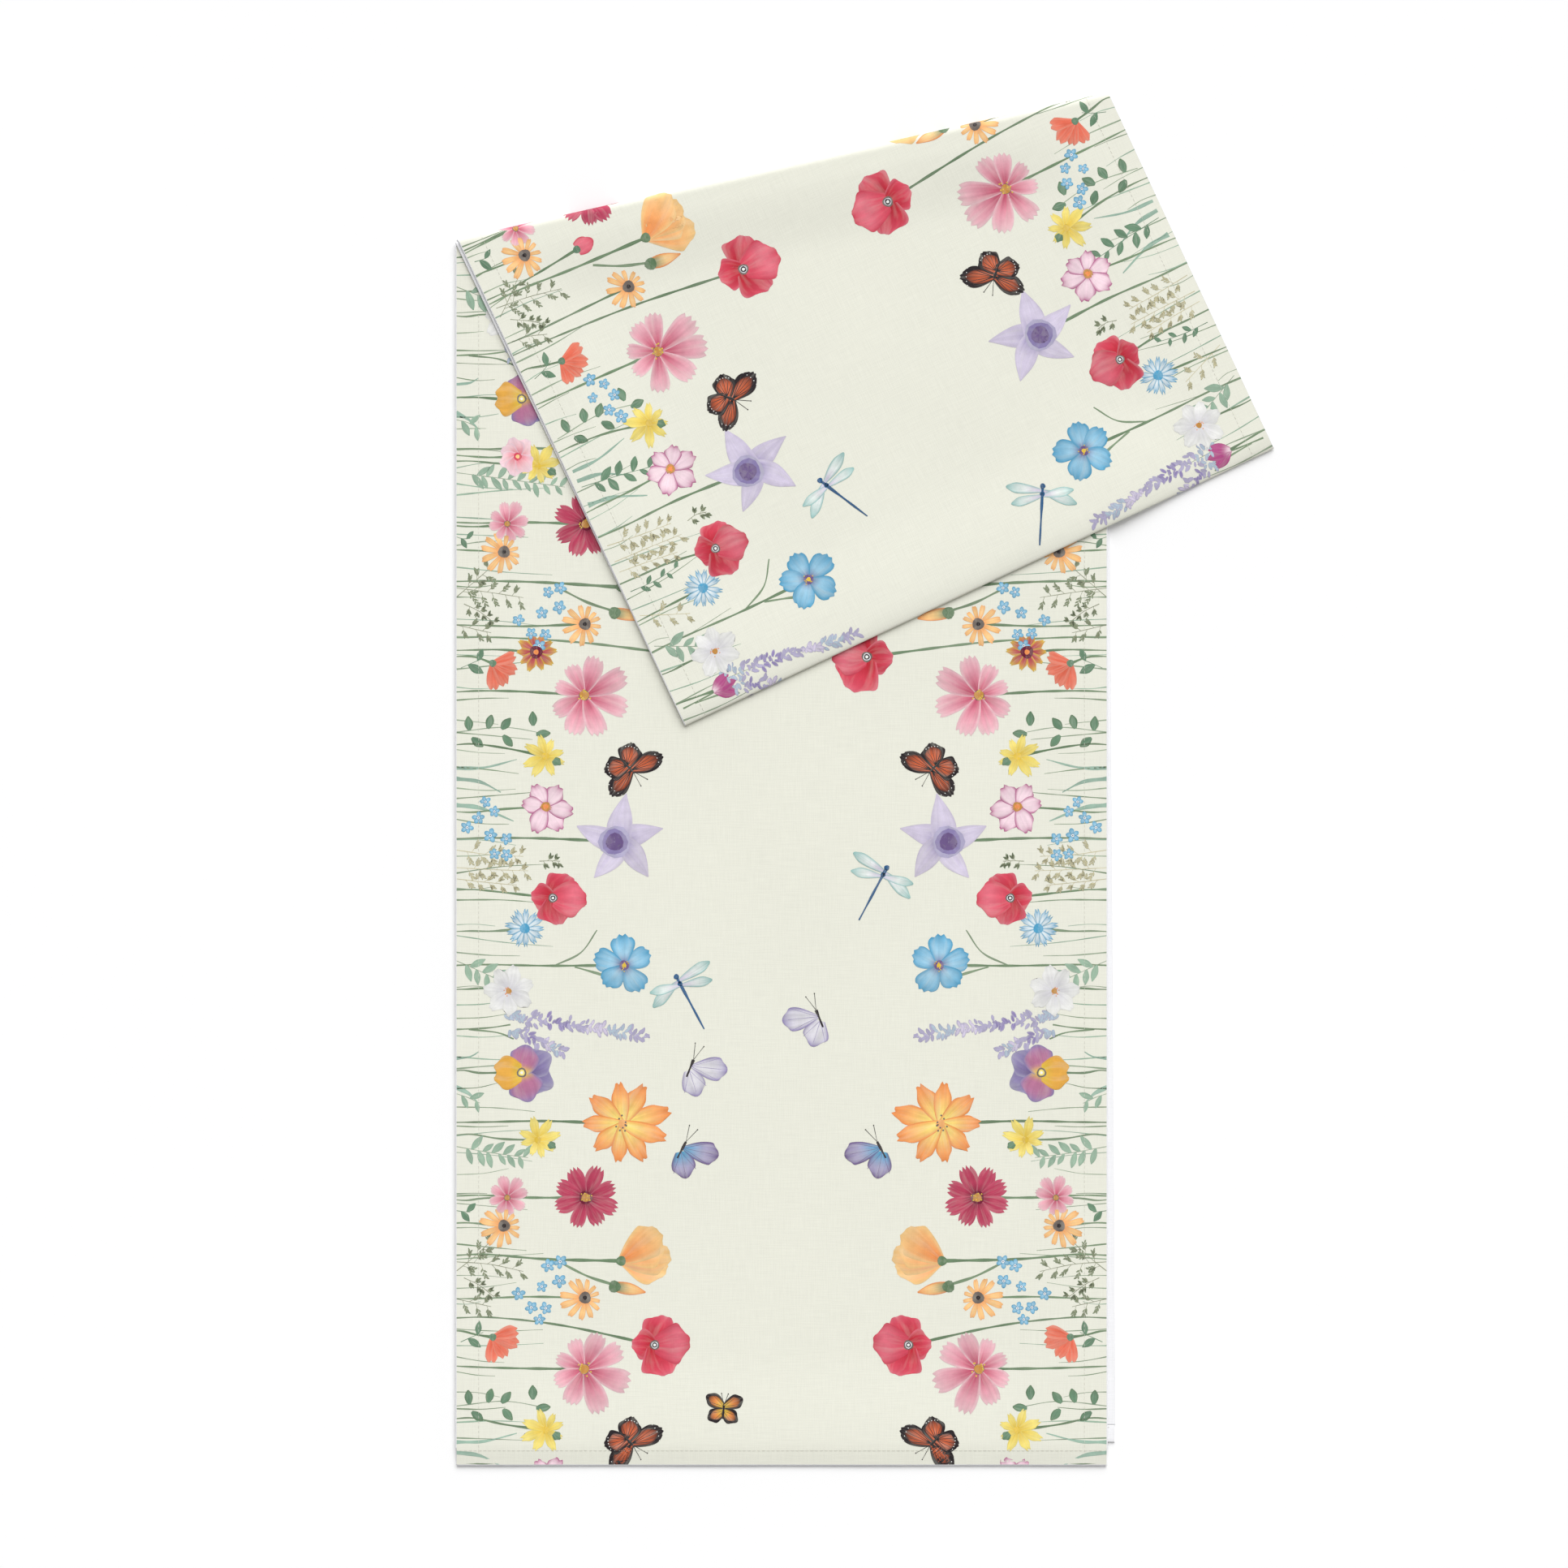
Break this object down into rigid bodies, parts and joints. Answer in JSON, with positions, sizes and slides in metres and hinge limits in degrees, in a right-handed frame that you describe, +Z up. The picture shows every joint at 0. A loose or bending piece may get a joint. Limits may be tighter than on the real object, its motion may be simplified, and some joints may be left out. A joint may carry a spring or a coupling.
{
  "type": "table runner",
  "caption": "Long printed cloth table runner with double-turned hems, folded in half and its doubled end turned over on a diagonal into a flap.",
  "frame": {"origin": "middle of the underside of the folded runner's bounding box, on the table", "axes": "+X across the runner towards the side where the flap's corner stands out, +Y along the runner from its ends towards the diagonal fold, +Z up from the table"},
  "size_m": [0.5104, 0.8566, 0.0079],
  "materials": {
    "printed_cloth": "matte plain-weave linen-look cloth, ivory ground with a watercolour flower border printed on one side, white reverse",
    "hem": "matte white unprinted reverse of the same plain-weave cloth, turned under twice",
    "thread": "fine spun polyester sewing thread, slight sheen"
  },
  "bodies": {
    "base": {"lower_layer": "printed_cloth", "upper_layer": "printed_cloth", "lower_hem_left": "hem", "lower_hem_right": "hem", "lower_hem_end": "hem", "upper_hem_left": "hem", "upper_hem_right": "hem", "upper_hem_end": "hem", "lower_needle_thread_left": "thread", "lower_needle_thread_right": "thread", "lower_needle_thread_end": "thread", "lower_bobbin_thread_left": "thread", "lower_bobbin_thread_right": "thread", "lower_bobbin_thread_end": "thread", "upper_needle_thread_left": "thread", "upper_needle_thread_right": "thread", "upper_needle_thread_end": "thread", "upper_bobbin_thread_left": "thread", "upper_bobbin_thread_right": "thread", "upper_bobbin_thread_end": "thread"},
    "flap": {"flap_under_layer": "printed_cloth", "half_fold": "printed_cloth", "flap_top_layer": "printed_cloth", "flap_under_hem_left": "hem", "flap_under_hem_right": "hem", "half_fold_hem_left": "hem", "half_fold_hem_right": "hem", "flap_top_hem_left": "hem", "flap_top_hem_right": "hem", "flap_needle_thread_left": "thread", "flap_needle_thread_right": "thread", "flap_bobbin_thread_left": "thread", "flap_bobbin_thread_right": "thread"}
  },
  "joints": [
    {"name": "flap_fold", "type": "hinge", "parent": "base", "child": "flap", "pos_m": [-0.25499, 0.33675, 0.00395], "axis": [-0.9755, -0.2198, 0], "range_deg": [0, 180]}
  ]
}
